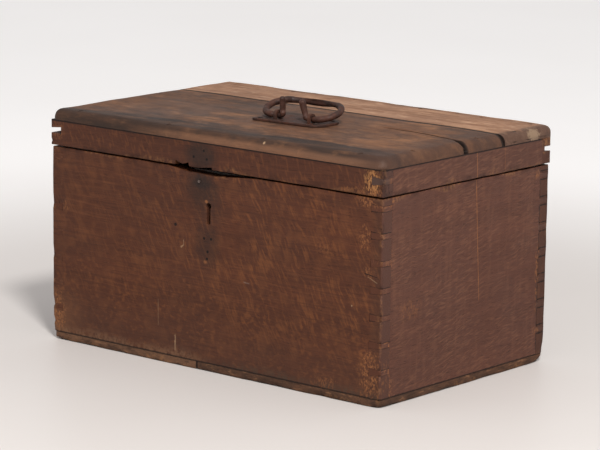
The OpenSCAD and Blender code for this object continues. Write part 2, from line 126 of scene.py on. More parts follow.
def bite(p, centre, radius, rough=0.25, seed=0.0):
    """A chip: points inside a rough ball are pushed out to its surface."""
    d = p - centre
    r = radius * (1 + rough * wobble(p, radius * 0.5, seed))
    if 1e-9 < d.length < r:
        d *= r / d.length
        p[:] = centre + d


def cut_planes(bm, axis, places):
    normal = Vector((0, 0, 0))
    normal[axis] = 1
    for place in places:
        point = Vector((0, 0, 0))
        point[axis] = place
        geom = bm.verts[:] + bm.edges[:] + bm.faces[:]
        bmesh.ops.bisect_plane(bm, geom=geom, dist=1e-6, plane_co=point, plane_no=normal)


def graded(lo, hi, middle, near=(0.0012, 0.0026, 0.0045, 0.0075, 0.0115, 0.0165)):
    """Places along an axis: fine near both ends and about middle apart between."""
    places = [lo + d for d in near if lo + d < (lo + hi) / 2]
    places += [hi - d for d in near if hi - d > (lo + hi) / 2]
    start, stop = lo + near[-1], hi - near[-1]
    if stop - start > middle:
        count = int((stop - start) / middle)
        places += [start + (stop - start) * (i + 1) / (count + 1) for i in range(count)]
    return places


def piece_from_mesh(name, mesh, body, materials, replaces=()):
    obj = bpy.data.objects.new(name, mesh)
    bpy.context.scene.collection.objects.link(obj)
    mesh.materials.clear()
    for material in materials:
        mesh.materials.append(material)
    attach(obj, body)
    if replaces:
        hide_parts(*replaces)
    return obj


def shade(mesh, angle=40):
    mesh.polygons.foreach_set("use_smooth", [True] * len(mesh.polygons))
    mesh.set_sharp_from_angle(angle=math.radians(angle))
    mesh.update()


RIM_REACH = 0.0095


def on_rim(edge, block):
    """True for an edge along the outer rim of the block, where two of its sides meet."""
    middle = (edge.verts[0].co + edge.verts[1].co) / 2
    lo, hi = block
    return sum(min(abs(middle[a] - lo[a]), abs(middle[a] - hi[a])) < RIM_REACH for a in range(3)) >= 2


def refined(node, materials, field, middle=0.012, bevel=0.00035, extra=None, block=None):
    """A detailed copy of a CAD node: merged, bevelled, cut into a graded grid and worn by field(point).

    Inside the block's rim the bevels take the second material, which darkens the joints."""
    source = frame["nodes"][node]
    bm = bmesh.new()
    bm.from_mesh(source.data)
    bmesh.ops.remove_doubles(bm, verts=bm.verts[:], dist=1e-6)
    bmesh.ops.dissolve_limit(bm, angle_limit=math.radians(1), verts=bm.verts[:], edges=bm.edges[:])
    sharp = [e for e in bm.edges if len(e.link_faces) == 2 and e.calc_face_angle(0) > math.radians(30)]
    inner = [e for e in sharp if block and not on_rim(e, block)]
    outer = [e for e in sharp if e not in inner]
    for group, crevice in ((inner, 1), (outer, 0)):
        group = [e for e in group if e.is_valid]
        made = bmesh.ops.bevel(bm, geom=group, offset=bevel, offset_type="OFFSET", segments=2, profile=0.6,
                               affect="EDGES", clamp_overlap=True)
        for face in made["faces"]:
            face.material_index = crevice
    lo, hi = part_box(node)
    for axis in range(3):
        places = graded(lo[axis], hi[axis], middle)
        if extra and axis in extra:
            places += extra[axis]
        cut_planes(bm, axis, sorted(set(round(x, 6) for x in places)))
    if field:
        for v in bm.verts:
            field(v.co)
    mesh = bpy.data.meshes.new(node + "_worn")
    bm.to_mesh(mesh)
    bm.free()
    shade(mesh)
    return piece_from_mesh(node + "_worn", mesh, source["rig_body"], materials, (node,))


# ---------------------------------------------------------------- wear of the chest and the lid

def chest_corner_radius(z):
    """The vertical corners are worn most near the floor and a little just under the seam."""
    low = math.exp(-max(0.0, z) / 0.014)
    return 0.0011 + 0.0062 * low + 0.0007 * math.exp(-(SEAM_Z - z) / 0.01)


# chips out of the chest's edges, each: centre, radius
CHEST_CHIPS = [
    (Vector((CHEST_LO.x - 0.001, CHEST_LO.y - 0.0015, 0.0065)), 0.0042),
    (Vector((CHEST_LO.x + 0.020, CHEST_LO.y - 0.0022, 0.0005)), 0.0036),
    (Vector((CHEST_HI.x + 0.0012, CHEST_LO.y - 0.0012, 0.098)), 0.0026),
    (Vector((CHEST_HI.x + 0.0012, CHEST_LO.y - 0.0012, 0.070)), 0.0030),
    (Vector((CHEST_HI.x + 0.0012, CHEST_LO.y - 0.0012, 0.154)), 0.0024),
    (Vector((CHEST_HI.x + 0.0015, CHEST_LO.y - 0.0015, 0.020)), 0.0040),
    (Vector((CHEST_HI.x + 0.0018, CHEST_HI.y + 0.0012, 0.052)), 0.0034),
    (Vector((CHEST_HI.x + 0.0018, CHEST_HI.y + 0.0012, 0.136)), 0.0030),
    (Vector((CHEST_HI.x + 0.0018, CHEST_HI.y + 0.0014, 0.196)), 0.0032),
    (Vector((CHEST_HI.x + 0.0012, CHEST_LO.y + 0.030, -0.0015)), 0.0040),
    (Vector((CHEST_HI.x + 0.0012, CHEST_LO.y + 0.180, -0.0015)), 0.0044),
    (Vector((0.150, CHEST_LO.y - 0.0022, -0.0005)), 0.0045),
    (Vector((CHEST_LO.x - 0.0020, CHEST_LO.y + 0.001, 0.0400)), 0.0052),
    (Vector((CHEST_LO.x - 0.0030, CHEST_LO.y + 0.001, 0.0200)), 0.0058),
    (Vector((CHEST_LO.x - 0.0022, CHEST_LO.y + 0.001, 0.1500)), 0.0040),
    (Vector((CHEST_LO.x - 0.0020, CHEST_LO.y + 0.001, 0.0930)), 0.0036),
    (Vector((0.060, CHEST_LO.y - 0.0022, -0.0008)), 0.0040),
]


def chest_wear(p):
    """Moves one point of the chest as a century of use would."""
    grain = wobble(p, 0.013, 3.1)
    for sx, lx in ((1, CHEST_HI.x), (-1, CHEST_LO.x)):
        for sy, ly in ((1, BACK_Y), (-1, CHEST_LO.y)):
            radius = chest_corner_radius(p.z) * (1 + 0.45 * wobble(p, 0.02, 1.3))
            round_corner(p, 0, sx, lx, 1, sy, ly, radius)
        round_corner(p, 0, sx, lx, 2, 1, SEAM_Z, 0.0009 * (1.2 + grain))
        round_corner(p, 0, sx, lx, 2, -1, 0.0, 0.0022 * (1.2 + grain))
    for sy, ly in ((1, BACK_Y), (-1, CHEST_LO.y)):
        round_corner(p, 1, sy, ly, 2, 1, SEAM_Z, 0.0009 * (1.2 + grain))
        round_corner(p, 1, sy, ly, 2, -1, 0.0, 0.0020 * (1.2 + wobble(p, 0.03, 5.0)))
    corner = Vector((CHEST_HI.x if p.x > 0 else CHEST_LO.x, BACK_Y if p.y > 0 else CHEST_LO.y, 0))
    knock = math.exp(-((p - corner).length / 0.018) ** 2)
    if knock > 0.05:
        sides = ((0, math.copysign(1, p.x), corner.x), (1, math.copysign(1, p.y), corner.y), (2, -1, 0.0))
        round_block(p, sides, (0.0095 if p.y > 0 else 0.0060) * knock)
    if p.y > BACK_Y - 0.004:
        p.y -= 0.0009 * (1 + wobble((p.x * 0.2, 0, p.z), 0.016, 18.0))
    for centre, radius in CHEST_CHIPS:
        bite(p, centre, radius, 0.3, radius * 900)
    if p.z < 0.0016:
        p.z += max(0.0, 0.0018 * wobble(p, 0.019, 24.0) + 0.0008 * wobble(p, 0.007, 25.0))
    hollow = 0.00035 * (1 + wobble(p, 0.11, 7.0))
    if p.y < CHEST_LO.y + 0.004:
        p.y += hollow
    if abs(p.x) > CHEST_HI.x - 0.004:
        p.x -= math.copysign(hollow, p.x)
    if p.z > SEAM_Z - 0.004:
        p.z -= 0.0005 * (1 + wobble(p, 0.05, 9.0))


# chips out of the lid's edges, each: centre, radius
LID_CHIPS = [
    (Vector((LID_HI.x + 0.0040, 0.110, TOP_HI.z + 0.0010)), 0.0085),
    (Vector((LID_HI.x + 0.0022, 0.126, TOP_LO.z + 0.0005)), 0.0050),
    (Vector((LID_HI.x + 0.0014, LID_LO.y - 0.0010, RAIL_LO.z + 0.018)), 0.0034),
    (Vector((LID_HI.x + 0.0014, LID_LO.y - 0.0014, RAIL_LO.z + 0.008)), 0.0030),
    (Vector((LID_LO.x - 0.0010, LID_LO.y - 0.0014, RAIL_LO.z + 0.004)), 0.0034),
    (Vector((LID_LO.x - 0.0014, BACK_Y, TOP_HI.z + 0.001)), 0.0060),
    (Vector((0.034, LID_LO.y - 0.0008, TOP_HI.z - 0.0060)), 0.0034),
]
for i in range(9):
    along_x = -0.19 + 0.047 * i + 0.012 * math.sin(5.0 * i)
    chip = Vector((along_x, BACK_Y + 0.0012, TOP_HI.z + 0.0012))
    LID_CHIPS.append((chip, 0.0030 + 0.0009 * math.sin(3.0 * i)))


def crack_y(x):
    """Where the shrinkage crack in the front top board runs."""
    return 0.004 - 0.010 * smooth((x - 0.14) / 0.09)


CRACK_FROM = 0.112


def lid_wear(p):
    """Moves one point of the lid's rails and top boards."""
    grain = wobble(p, 0.013, 2.2)
    for sx, lx in ((1, LID_HI.x), (-1, LID_LO.x)):
        for sy, ly in ((1, BACK_Y), (-1, LID_LO.y)):
            radius = 0.0016 * (1 + 0.5 * wobble(p, 0.012, 6.1))
            round_corner(p, 0, sx, lx, 1, sy, ly, radius)
        round_corner(p, 0, sx, lx, 2, -1, RAIL_LO.z, 0.0010 * (1.2 + grain))
    round_corner(p, 1, -1, LID_LO.y, 2, -1, RAIL_LO.z, 0.0010 * (1.2 + grain))
    round_corner(p, 1, 1, BACK_Y, 2, 1, TOP_HI.z, 0.0018 * (1.1 + wobble(p, 0.02, 8.8)))
    for centre, radius in LID_CHIPS:
        bite(p, centre, radius, 0.3, radius * 700)
    if p.z > TOP_HI.z - 0.010:
        edge = max(0.0, 1 - (min(p.y - LID_LO.y, LID_HI.x - abs(p.x))) / 0.05)
        p.z -= 0.0006 * (1 + wobble(p, 0.06, 11.0)) + 0.0010 * edge * (1 + wobble(p, 0.022, 12.5)) * 0.6


def top_front_wear(p):
    """The front top board also has its shrinkage crack, a worn round corner and an uneven rear edge."""
    end = (0, 1, LID_HI.x) if p.x > 0 else (0, -1, LID_LO.x)
    round_block(p, (end, (1, -1, LID_LO.y), (2, 1, TOP_HI.z)), 0.0115 if p.x > 0 else 0.0098)
    if p.x > CRACK_FROM and abs(p.y - crack_y(p.x)) < 0.0018:
        open_ = smooth((p.x - CRACK_FROM) / 0.10)
        near = 1 - abs(p.y - crack_y(p.x)) / 0.0018
        depth = (0.0011 + 0.0040 * open_) * smooth(near)
        top = smooth((p.z - TOP_LO.z - 0.002) / 0.008)
        p.z -= depth * top
        p.x -= depth * smooth((p.x - LID_HI.x + 0.004) / 0.004)
    if p.y > JOINT_Y - 0.006:
        p.y -= 0.0007 * (1 + wobble(p, 0.03, 14.0)) * smooth((p.y - JOINT_Y + 0.006) / 0.006)
    lid_wear(p)


def top_rear_wear(p):
    if p.y < REAR_LO_Y + 0.006:
        p.y += 0.0005 * (1 + wobble(p, 0.035, 15.0)) * smooth((REAR_LO_Y + 0.006 - p.y) / 0.006)
    lid_wear(p)


# ---------------------------------------------------------------- node materials

class Net:
    """A small helper for building a material's nodes."""

    def __init__(self, name):
        self.material = bpy.data.materials.new(name)
        self.material.use_nodes = True
        self.tree = self.material.node_tree
        self.tree.nodes.clear()
        self.out = self.tree.nodes.new("ShaderNodeOutputMaterial")
        self.shader = self.tree.nodes.new("ShaderNodeBsdfPrincipled")
        self.tree.links.new(self.shader.outputs[0], self.out.inputs[0])
        self.place = self.tree.nodes.new("ShaderNodeTexCoord").outputs["Object"]
        split = self.tree.nodes.new("ShaderNodeSeparateXYZ")
        self.tree.links.new(self.place, split.inputs[0])
        self.sides = tuple(split.outputs)

    def put(self, value, socket):
        if isinstance(value, bpy.types.NodeSocket):
            self.tree.links.new(value, socket)
        elif isinstance(value, (tuple, list)) and len(value) == 3 and socket.type == "RGBA":
            socket.default_value = (*value, 1)
        else:
            socket.default_value = value

    def math(self, kind, a, b=0.0):
        n = self.tree.nodes.new("ShaderNodeMath")
        n.operation = kind
        self.put(a, n.inputs[0])
        self.put(b, n.inputs[1])
        return n.outputs[0]

    def add(self, a, b):
        return self.math("ADD", a, b)

    def sub(self, a, b):
        return self.math("SUBTRACT", a, b)

    def mul(self, a, b):
        return self.math("MULTIPLY", a, b)

    def ramp(self, value, lo, hi, to_lo=0.0, to_hi=1.0):
        n = self.tree.nodes.new("ShaderNodeMapRange")
        n.interpolation_type = "SMOOTHSTEP"
        for i, v in enumerate((value, lo, hi, to_lo, to_hi)):
            self.put(v, n.inputs[i])
        return n.outputs[0]

    def mapped(self, source, scale=(1, 1, 1), turn=(0, 0, 0), shift=(0, 0, 0)):
        n = self.tree.nodes.new("ShaderNodeMapping")
        self.put(source, n.inputs[0])
        n.inputs["Location"].default_value = shift
        n.inputs["Rotation"].default_value = [math.radians(v) for v in turn]
        n.inputs["Scale"].default_value = scale
        return n.outputs[0]

    def noise(self, scale, detail=3.0, rough=0.55, seed=0.0, turn=None, source=None, colour=False):
        """Noise stretched by a scale per axis, after turning the pattern by turn degrees."""
        vector = source or self.place
        if turn:
            vector = self.mapped(vector, turn=turn)
        scale = (scale,) * 3 if isinstance(scale, (int, float)) else scale
        n = self.tree.nodes.new("ShaderNodeTexNoise")
        self.put(self.mapped(vector, scale, shift=(seed, 1.7 * seed, 0.6 * seed)), n.inputs["Vector"])
        n.inputs["Scale"].default_value = 1.0
        n.inputs["Detail"].default_value = detail
        n.inputs["Roughness"].default_value = rough
        return n.outputs[1 if colour else 0]

    def warped(self, size, amount, seed=0.0):
        """The place, pushed about by amount metres along noise with bumps about size metres across."""
        push = self.tree.nodes.new("ShaderNodeVectorMath")
        push.operation = "MULTIPLY_ADD"
        self.put(self.noise(1 / size, 1.5, seed=seed, colour=True), push.inputs[0])
        push.inputs[1].default_value = (amount,) * 3
        self.put(self.place, push.inputs[2])
        return push.outputs[0]

    def mix(self, share, a, b):
        n = self.tree.nodes.new("ShaderNodeMix")
        n.data_type = "RGBA"
        self.put(share, n.inputs[0])
        self.put(a, n.inputs[6])
        self.put(b, n.inputs[7])
        return n.outputs[2]

    def paint(self, colour, paint, share, amount):
        """The colour with some paint over it, where share and amount are high."""
        return self.mix(self.mul(share, amount), colour, paint)

    def shaken(self, value, pattern, amount):
        """A value pushed up and down by a noise pattern."""
        return self.add(value, self.mul(self.sub(pattern, 0.5), amount))

    def beside(self, value, place, full, gone):
        """1 within full of the place, fading to 0 at gone."""
        return self.ramp(self.math("ABSOLUTE", self.sub(value, place)), full, gone, 1.0, 0.0)

    def patch(self, centre, half, axes, ragged=None, raggedness=0.0, soft=0.35):
        """1 inside an oval mark on the plane of two axes, 0 outside, its edge broken up by ragged."""
        du = self.mul(self.sub(self.sides[axes[0]], centre[0]), 1 / half[0])
        dv = self.mul(self.sub(self.sides[axes[1]], centre[1]), 1 / half[1])
        far = self.math("SQRT", self.add(self.mul(du, du), self.mul(dv, dv)))
        if ragged is not None:
            far = self.add(far, self.mul(self.sub(ragged, 0.5), raggedness))
        return self.ramp(far, 1 - soft, 1 + soft, 1.0, 0.0)

    def streak(self, start, end, width, axes, ragged=None):
        """1 along a thin line between two points on the plane of two axes."""
        length = math.hypot(end[0] - start[0], end[1] - start[1])
        cu, cv = (end[0] - start[0]) / length, (end[1] - start[1]) / length
        du, dv = self.sub(self.sides[axes[0]], start[0]), self.sub(self.sides[axes[1]], start[1])
        forward = self.add(self.mul(du, cu), self.mul(dv, cv))
        across = self.math("ABSOLUTE", self.add(self.mul(du, -cv), self.mul(dv, cu)))
        if ragged is not None:
            across = self.add(across, self.mul(self.sub(ragged, 0.45), width * 2.5))
        started = self.ramp(forward, -width, width)
        going = self.ramp(forward, length - width, length + width, 1.0, 0.0)
        return self.mul(self.mul(started, going), self.ramp(across, width * 0.4, width, 1.0, 0.0))

    def edge_distance(self, lo, hi):
        """Distance along the surface to the nearest edge of the block from lo to hi."""
        depths = []
        for i in range(3):
            from_middle = self.math("ABSOLUTE", self.sub(self.sides[i], (lo[i] + hi[i]) / 2))
            depths.append(self.sub((hi[i] - lo[i]) / 2, from_middle))
        a, b, c = depths
        middle_or_less = self.math("MINIMUM", self.math("MAXIMUM", a, b), c)
        return self.math("MAXIMUM", self.math("MINIMUM", a, b), middle_or_less)

    def bump(self, height, distance, strength=1.0, normal=None):
        n = self.tree.nodes.new("ShaderNodeBump")
        n.inputs["Strength"].default_value = strength
        n.inputs["Distance"].default_value = distance
        self.put(height, n.inputs["Height"])
        if normal is not None:
            self.put(normal, n.inputs["Normal"])
        return n.outputs[0]

    def finish(self, colour, rough, normal, specular=0.4, metallic=0.0):
        self.put(colour, self.shader.inputs["Base Color"])
        self.put(rough, self.shader.inputs["Roughness"])
        self.put(normal, self.shader.inputs["Normal"])
        self.shader.inputs["Specular IOR Level"].default_value = specular
        self.shader.inputs["Metallic"].default_value = metallic
        return self.material


def along(axis, grain, across):
    """Noise scale for a grain that runs along one axis."""
    return tuple(grain if i == axis else across for i in range(3))


def tint(colour, share):
    return tuple(share * c for c in colour)


def oak(name, base, dark, light, axis=0, seed=0.0, block=None, wear=0.5, wear_colour=(0.27, 0.125, 0.05),
        rough=0.55, bands=0.5, lines=0.35, blotch=0.3, pores=0.5, marks=None, specular=0.16):
    """Old oiled oak: growth bands, fine grain, pores, blotches, then the board's marks and rubbed edges."""
    net = Net(name)
    bent = net.warped(0.15, 0.02, seed)
    growth = net.noise(along(axis, 3, 60), 3.0, seed=seed, source=bent)
    thread = net.noise(along(axis, 14, 420), 4.0, 0.65, seed, source=bent)
    fine = net.noise(along(axis, 60, 1600), 2.0, 0.6, seed)
    pits = net.ramp(net.noise(along(axis, 85, 1500), 1.0, 0.5, seed + 5), 0.60, 0.72)
    broad = net.noise(11, 4.0, 0.6, seed)
    flaky = net.noise((260, 260, 190), 5.0, 0.7, seed, source=net.warped(0.012, 0.006, seed))
    colour = net.mix(net.ramp(growth, 0.34, 0.66, bands, 0.0), base, dark)
    colour = net.mix(net.ramp(thread, 0.48, 0.72, 0.0, lines), colour, light)
    colour = net.mix(net.ramp(thread, 0.28, 0.46, lines, 0.0), colour, dark)
    colour = net.mix(net.ramp(broad, 0.36, 0.62, blotch, 0.0), colour, dark)
    colour = net.mix(net.mul(pits, pores), colour, tint(dark, 0.45))
    if marks:
        colour = marks(net, colour, broad, flaky)
    if block:
        near = net.edge_distance(*block)
        patchy = net.noise(26, 3.0, 0.6, seed + 2)
        reach = net.add(near, net.mul(net.sub(patchy, 0.66), -0.035))
        rubbed = net.mul(net.ramp(reach, 0.0035, 0.0085, 1.0, 0.0), net.ramp(flaky, 0.44, 0.56))
        colour = net.mix(net.mul(rubbed, wear), colour, wear_colour)
        clotted = net.ramp(net.noise(45, 3.0, 0.6, seed + 7), 0.46, 0.64)
        grimy = net.mul(net.ramp(near, 0.0, 0.008, 1.0, 0.0), clotted)
        colour = net.paint(colour, tint(dark, 0.4), grimy, 0.55)
    shine = net.ramp(net.add(net.mul(broad, 0.6), net.mul(fine, 0.4)), 0.3, 0.7, rough - 0.08, rough + 0.14)
    relief = net.add(net.add(net.mul(thread, 0.9), net.mul(fine, 0.4)), net.mul(pits, -0.6))
    normal = net.bump(flaky, 0.0005, 0.25, net.bump(relief, 0.0003, 0.7))
    return net.finish(colour, shine, normal, specular)


def iron(name, base, rust, bright, rusty=0.5, polish=0.0, rough=0.62, seed=0.0, metal=0.15):
    """Forged iron: dark scale, brown rust in patches, pits and rubbed high spots."""
    net = Net(name)
    scale_ = net.noise(160, 5.0, 0.65, seed)
    grit = net.noise(900, 3.0, 0.6, seed)
    broad = net.noise(60, 3.0, 0.6, seed)
    colour = net.mix(net.ramp(scale_, 0.35, 0.65), base, tint(base, 1.8))
    rusted = net.ramp(net.add(broad, net.mul(scale_, 0.4)), 0.58, 0.86)
    colour = net.mix(net.mul(rusted, rusty), colour, rust)
    colour = net.mix(net.mul(net.ramp(grit, 0.5, 0.75), 0.35), colour, tint(base, 0.4))
    if polish:
        colour = net.mix(net.mul(net.ramp(broad, 0.48, 0.66), polish), colour, bright)
    normal = net.bump(grit, 0.0003, 0.6, net.bump(scale_, 0.0007, 0.7))
    return net.finish(colour, net.ramp(scale_, 0.3, 0.7, rough - 0.12, rough + 0.16), normal, 0.32, metal)


# ---------------------------------------------------------------- marks on each board

# the axes of a face seen from the front, and of one seen from an end
FRONT, END = (0, 2), (1, 2)
# heights of the narrow dovetail pins in the chest's corners
PIN_LOW, PIN_STEP = 0.036, 0.0274
PIN_LEVELS = [PIN_LOW + PIN_STEP * i for i in range(7)]
# just past the chest's corners, and the plane where the back board meets the right end
CORNER_X, CORNER_Y = 0.226, 0.141
BACK_JOINT_Y = 0.1245
NAIL_HALF = (0.0014, 0.0014)

FLECK = (0.190, 0.066, 0.022)
ORANGE = (0.262, 0.103, 0.038)
PALE = (0.40, 0.26, 0.15)
STAIN = (0.020, 0.013, 0.011)
HOLE = (0.004, 0.003, 0.003)
BROWN, BROWN_DARK, BROWN_LIGHT = (0.082, 0.0265, 0.0130), (0.052, 0.0180, 0.0100), (0.135, 0.047, 0.021)


def flecks(net, colour, size, turn, seed, amount, fleck_colour, zone=None, lo=0.50, hi=0.68):
    """Soft ray flecks, gathered in clouds."""
    rays = net.ramp(net.noise(size, 1.2, 0.5, seed, turn, net.warped(0.03, 0.010, seed)), lo, hi)
    clouds = net.ramp(net.noise(24, 2.0, 0.5, seed + 3), 0.28, 0.60, 0.15, 1.0)
    share = net.mul(net.mul(rays, clouds), amount)
    if zone is not None:
        share = net.mul(share, zone)
    return net.mix(share, colour, fleck_colour)


def stains(net, colour, axes, flaky, places):
    """Dark or bare spots, each: centre, half size, amount, paint, softness."""
    for centre, half, amount, paint, soft in places:
        colour = net.paint(colour, paint, net.patch(centre, half, axes, flaky, 1.3, soft), amount)
    return colour


def rubbed_through(net, colour, axes, flaky, seed, places, lo=0.47, hi=0.58):
    """Specks of bare wood in ragged ovals, each: centre, half size, amount, paint."""
    specks = net.noise((420, 420, 240), 4.0, 0.75, seed)
    for centre, half, amount, paint in places:
        worn = net.mul(net.patch(centre, half, axes, flaky, 2.6, 0.5), net.ramp(specks, lo, hi))
        colour = net.paint(colour, paint, worn, amount)
    return colour


def strokes(net, colour, axes, flaky, lines):
    """Scratches and splits, each: start, end, half width, amount, paint."""
    for start, end, width, amount, paint in lines:
        colour = net.paint(colour, paint, net.streak(start, end, width, axes, flaky), amount)
    return colour


def nail_holes(net, colour, places):
    for place in places:
        colour = net.mix(net.patch(place, NAIL_HALF, FRONT), colour, HOLE)
    return colour


def seam_shadow(net, colour, flaky):
    """The dark joint between the walls and the bottom boards."""
    over = net.math("ABSOLUTE", net.sub(net.sides[2], BOTTOM_T))
    return net.mix(net.ramp(net.shaken(over, flaky, 0.0016), 0.0004, 0.0013, 0.75, 0.0), colour, HOLE)


def bottom_marks(net, colour, broad, flaky):
    """End grain and bruises along the foot, and the dark joint between the two boards."""
    bruised = net.noise((75, 60, 260), 4.0, 0.7, 61.0)
    colour = net.mix(net.ramp(bruised, 0.50, 0.64, 0.0, 0.7), colour, (0.045, 0.023, 0.015))
    colour = net.mix(net.ramp(bruised, 0.44, 0.32, 0.0, 0.6), colour, (0.255, 0.125, 0.062))
    colour = net.paint(colour, HOLE, net.beside(net.sides[0], BOTTOM_JOINT_X, 0.0006, 0.0018), 0.9)
    return seam_shadow(net, colour, flaky)


FRONT_STAINS = (
    ((-0.013, 0.190), (0.022, 0.016), 0.55, STAIN, 0.6),
    ((-0.013, 0.198), (0.011, 0.0075), 0.75, STAIN, 0.5),
    ((-0.003, 0.168), (0.017, 0.030), 0.30, STAIN, 0.6),
    ((-0.003, 0.130), (0.015, 0.021), 0.45, STAIN, 0.6),
    ((-0.0475, 0.149), (0.0016, 0.0016), 0.9, HOLE, 0.3),
    ((-0.0062, 0.1150), (0.0022, 0.0018), 0.55, ORANGE, 0.5),
    ((0.1878, 0.0989), (0.0010, 0.0010), 0.5, PALE, 0.5),
    ((-0.0052, 0.1785), (0.0020, 0.0016), 0.7, ORANGE, 0.5),
)
FRONT_HOLES = ((-0.0080, 0.1397), (0.0016, 0.1400), (-0.0031, 0.1262), (-0.0037, 0.1188))
FRONT_RUBBED = (
    ((0.2040, 0.2055), (0.010, 0.0048), 0.75, ORANGE),
    ((0.2030, 0.1675), (0.0065, 0.012), 0.7, ORANGE),
    ((0.2120, 0.0330), (0.012, 0.022), 0.75, ORANGE),
    ((0.1554, 0.0160), (0.014, 0.005), 0.45, ORANGE),
    ((-0.2180, 0.0310), (0.010, 0.020), 0.95, ORANGE),
    ((0.2080, 0.1350), (0.006, 0.005), 0.5, ORANGE),
    ((-0.2050, 0.1480), (0.004, 0.006), 0.35, ORANGE),
    ((0.1500, 0.1520), (0.009, 0.007), 0.25, ORANGE),
)
FRONT_STROKES = (
    ((-0.0470, 0.0155), (-0.0472, 0.0325), 0.0012, 0.5, PALE),
    ((-0.0711, 0.0385), (-0.0713, 0.066), 0.0007, 0.2, PALE),
    ((-0.0400, 0.1262), (-0.0362, 0.1290), 0.0012, 0.45, PALE),
    ((-0.0362, 0.1290), (-0.0362, 0.1345), 0.0009, 0.35, PALE),
    ((0.0460, 0.1018), (0.0540, 0.1012), 0.0011, 0.45, (0.2, 0.14, 0.11)),
    ((0.2075, 0.1310), (0.2190, 0.1262), 0.0008, 0.35, PALE),
    ((0.2030, 0.1340), (0.2190, 0.1318), 0.0007, 0.9, HOLE),
)


def front_marks(net, colour, broad, flaky):
    """Ray flecks, the lost hasp's stains and nail holes, dovetail edges, scratches and a bruised foot."""
    x, z = net.sides[0], net.sides[2]
    strong = net.mul(net.ramp(x, -0.16, 0.03, 0.42, 1.0), net.ramp(z, 0.012, 0.085, 0.25, 1.0))
    lower_half = net.ramp(z, 0.14, 0.05)
    colour = flecks(net, colour, (400, 140, 76), (0, 27, 0), 2.0, 0.52, FLECK, strong, 0.45, 0.74)
    colour = flecks(net, colour, (150, 60, 210), (0, -8, 0), 6.0, 0.40, FLECK, lower_half, 0.50, 0.7)
    colour = flecks(net, colour, (70, 60, 55), None, 16.0, 0.30, (0.150, 0.054, 0.021), None, 0.46, 0.66)
    ruled = net.noise((7, 60, 520), 3.0, 0.6, 27.0, None, net.warped(0.05, 0.004, 27.0))
    colour = net.mix(net.ramp(ruled, 0.50, 0.68, 0.0, 0.42), colour, BROWN_DARK)
    left_end = net.ramp(net.shaken(x, broad, 0.06), -0.225, -0.165, 1.0, 0.0)
    colour = net.paint(colour, (0.190, 0.082, 0.036), net.mul(left_end, net.ramp(z, 0.075, 0.012)), 0.55)
    colour = net.paint(colour, (0.062, 0.030, 0.021), net.ramp(z, 0.075, 0.015), 0.30)
    # the lighter, rubbed foot of the left half and the grey, bruised foot of the right half
    foot = net.mul(net.ramp(net.shaken(z, broad, 0.03), 0.009, 0.020, 1.0, 0.0), net.ramp(flaky, 0.36, 0.6))
    colour = net.paint(colour, (0.185, 0.098, 0.054), net.mul(foot, net.ramp(x, -0.05, 0.02, 1.0, 0.0)), 0.6)
    colour = net.paint(colour, (0.058, 0.037, 0.025), net.mul(foot, net.ramp(x, -0.02, 0.05)), 0.7)
    colour = net.mix(net.ramp(x, CHEST_HI.x - 0.0025, CHEST_HI.x - 0.0008), colour, (0.094, 0.038, 0.026))
    colour = seam_shadow(net, colour, flaky)
    colour = stains(net, colour, FRONT, flaky, FRONT_STAINS)
    colour = nail_holes(net, colour, FRONT_HOLES)
    for i, level in enumerate(PIN_LEVELS):
        for edge, inner in ((level - 0.0030, 0.2135), (level + 0.0026, 0.2160)):
            inner += 0.002 * math.sin(7 * i + edge * 900)
            for side in (1, -1):
                start, end = (side * inner, edge), (side * CORNER_X, edge + 0.0004)
                tick = net.streak(start, end, 0.0010, FRONT, flaky)
                colour = net.paint(colour, HOLE, tick, 0.55 + 0.35 * math.sin(3.1 * i + 700 * edge + side))
    right_end = net.ramp(net.shaken(x, broad, 0.02), 0.208, 0.218)
    colour = net.paint(colour, (0.040, 0.021, 0.015), right_end, 0.30)
    colour = rubbed_through(net, colour, FRONT, flaky, 51.0, FRONT_RUBBED)
    return strokes(net, colour, FRONT, flaky, FRONT_STROKES)


def side_strokes(net, colour, paint, seed):
    """Short strokes of the plane and the brush on the ends."""
    colour = flecks(net, colour, (140, 80, 560), (-13, 0, 0), seed, 0.32, paint, None, 0.44, 0.74)
    return flecks(net, colour, (90, 170, 13), None, seed + 4, 0.12, paint, None, 0.48, 0.72)


RIGHT_RUBBED = (
    ((-0.1310, 0.2070), (0.010, 0.006), 0.8, ORANGE),
    ((-0.1340, 0.0180), (0.012, 0.012), 0.85, ORANGE),
    ((0.1190, 0.2030), (0.004, 0.006), 0.6, ORANGE),
    ((0.1235, 0.0950), (0.0035, 0.032), 0.55, ORANGE),
    ((-0.0950, 0.0930), (0.018, 0.009), 0.3, ORANGE),
    ((-0.1310, 0.1500), (0.009, 0.010), 0.3, ORANGE),
    ((0.1230, 0.0340), (0.005, 0.004), 0.5, ORANGE),
)
RIGHT_STROKES = (
    ((0.0217, 0.084), (0.0125, 0.2115), 0.0007, 0.75, ORANGE),
    ((-0.1270, 0.0640), (-0.1265, 0.0150), 0.0011, 0.7, ORANGE),
    ((-0.1340, 0.0655), (-0.1268, 0.0660), 0.0010, 0.6, ORANGE),
    ((-0.1330, 0.0360), (-0.1275, 0.0440), 0.0012, 0.6, ORANGE),
)


